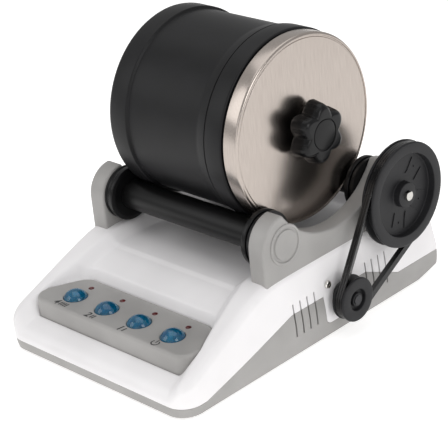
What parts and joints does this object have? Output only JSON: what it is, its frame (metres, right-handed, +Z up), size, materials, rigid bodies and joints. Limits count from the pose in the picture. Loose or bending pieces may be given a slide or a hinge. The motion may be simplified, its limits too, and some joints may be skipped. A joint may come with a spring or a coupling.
{
  "type": "rotary rock tumbler",
  "caption": "Rotary rock tumbler with a rubber barrel, steel lid and star knob, lying on belt-driven rollers above a moulded base with a button panel.",
  "frame": {"origin": "centre of the whole machine's footprint, on the table under its feet", "axes": "+Z up, +X towards the belt side, +Y towards the rear, so the control panel faces -Y"},
  "size_m": [0.2348, 0.3124, 0.2495],
  "materials": {
    "white_plastic": "satin moulded ABS",
    "grey_plastic": "fine texture moulded ABS",
    "rubber": "matte",
    "zinc_steel": "bright zinc plate",
    "black_plastic": "satin",
    "bronze": "sintered",
    "red_lens": "gloss",
    "circuit_board": "solder mask",
    "chrome_screw": "bright",
    "belt_rubber": "satin",
    "barrel_rubber": "matte moulded rubber",
    "steel_lid": "circular brushed",
    "knob_plastic": "satin moulded",
    "shaft_steel": "turned",
    "pulley_plastic": "satin",
    "blue_lens": "translucent gloss"
  },
  "bodies": {
    "base": {"tray": "grey_plastic", "upper_shell": "white_plastic", "rubber_feet": "rubber", "base_screws": "zinc_steel", "left_bracket": "grey_plastic", "right_bracket": "grey_plastic", "bracket_screws": "zinc_steel", "bearing_collars": "black_plastic", "shaft_bushings": "bronze", "control_panel": "grey_plastic", "lamp_lenses": "red_lens", "circuit_board": "circuit_board", "button_switches": "black_plastic", "motor_housing": "zinc_steel", "motor_end_bell": "black_plastic", "motor_screws": "chrome_screw", "drive_belt": "belt_rubber", "cord_gland": "black_plastic", "terminal_block": "white_plastic"},
    "lid_gasket": {"lid_gasket": "rubber"},
    "barrel": {"barrel_shell": "barrel_rubber", "inner_lid": "steel_lid", "lid_stud": "zinc_steel", "lid_cover": "steel_lid"},
    "knob_washer": {"knob_washer": "zinc_steel"},
    "knob": {"star_knob": "knob_plastic", "knob_insert": "bronze"},
    "drive_roller": {"drive_shaft": "shaft_steel", "drive_sleeve": "barrel_rubber", "drive_flanges": "black_plastic", "drive_pulley": "pulley_plastic"},
    "idler_roller": {"idler_shaft": "shaft_steel", "idler_sleeve": "barrel_rubber", "idler_flanges": "black_plastic"},
    "motor_rotor": {"motor_shaft": "shaft_steel", "motor_pulley": "pulley_plastic"},
    "button_4": {"button_4": "blue_lens"},
    "button_2": {"button_2": "blue_lens"},
    "button_1": {"button_1": "blue_lens"},
    "button_power": {"button_power": "blue_lens"}
  },
  "joints": [
    {"name": "barrel_lift", "type": "slide", "parent": "base", "child": "lid_gasket", "axis": [0, 0, 1], "range_m": [0, 0.12]},
    {"name": "barrel_spin", "type": "hinge", "parent": "lid_gasket", "child": "barrel", "pos_m": [-0.0096, 0.03475, 0.16929], "axis": [1, 0, 0], "continuous": true},
    {"name": "knob_travel", "type": "slide", "parent": "barrel", "child": "knob_washer", "axis": [1, 0, 0], "range_m": [0, 0.00375]},
    {"name": "knob_turn", "type": "hinge", "parent": "knob_washer", "child": "knob", "pos_m": [0.07365, 0.03475, 0.16929], "axis": [1, 0, 0], "range_deg": [0, 1080]},
    {"name": "drive_roller_spin", "type": "hinge", "parent": "base", "child": "drive_roller", "pos_m": [-0.0096, 0.0969, 0.0997], "axis": [1, 0, 0], "continuous": true},
    {"name": "idler_roller_spin", "type": "hinge", "parent": "base", "child": "idler_roller", "pos_m": [-0.0096, -0.0274, 0.0997], "axis": [1, 0, 0], "continuous": true},
    {"name": "motor_spin", "type": "hinge", "parent": "base", "child": "motor_rotor", "pos_m": [0.1031, 0.02815, 0.0329], "axis": [1, 0, 0], "continuous": true},
    {"name": "button_4_press", "type": "slide", "parent": "base", "child": "button_4", "axis": [0, 0, -1], "range_m": [0, 0.0015], "stiffness_N_per_m": 400, "springref_m": -0.0005},
    {"name": "button_2_press", "type": "slide", "parent": "base", "child": "button_2", "axis": [0, 0, -1], "range_m": [0, 0.0015], "stiffness_N_per_m": 400, "springref_m": -0.0005},
    {"name": "button_1_press", "type": "slide", "parent": "base", "child": "button_1", "axis": [0, 0, -1], "range_m": [0, 0.0015], "stiffness_N_per_m": 400, "springref_m": -0.0005},
    {"name": "button_power_press", "type": "slide", "parent": "base", "child": "button_power", "axis": [0, 0, -1], "range_m": [0, 0.0015], "stiffness_N_per_m": 400, "springref_m": -0.0005}
  ],
  "couplings": [
    {"joint": "drive_roller_spin", "follows": "barrel_spin", "ratio": -6.2656},
    {"joint": "idler_roller_spin", "follows": "barrel_spin", "ratio": -6.2656},
    {"joint": "motor_spin", "follows": "barrel_spin", "ratio": -16.486},
    {"joint": "knob_travel", "follows": "knob_turn", "m_per_rad": 0.00019894}
  ]
}
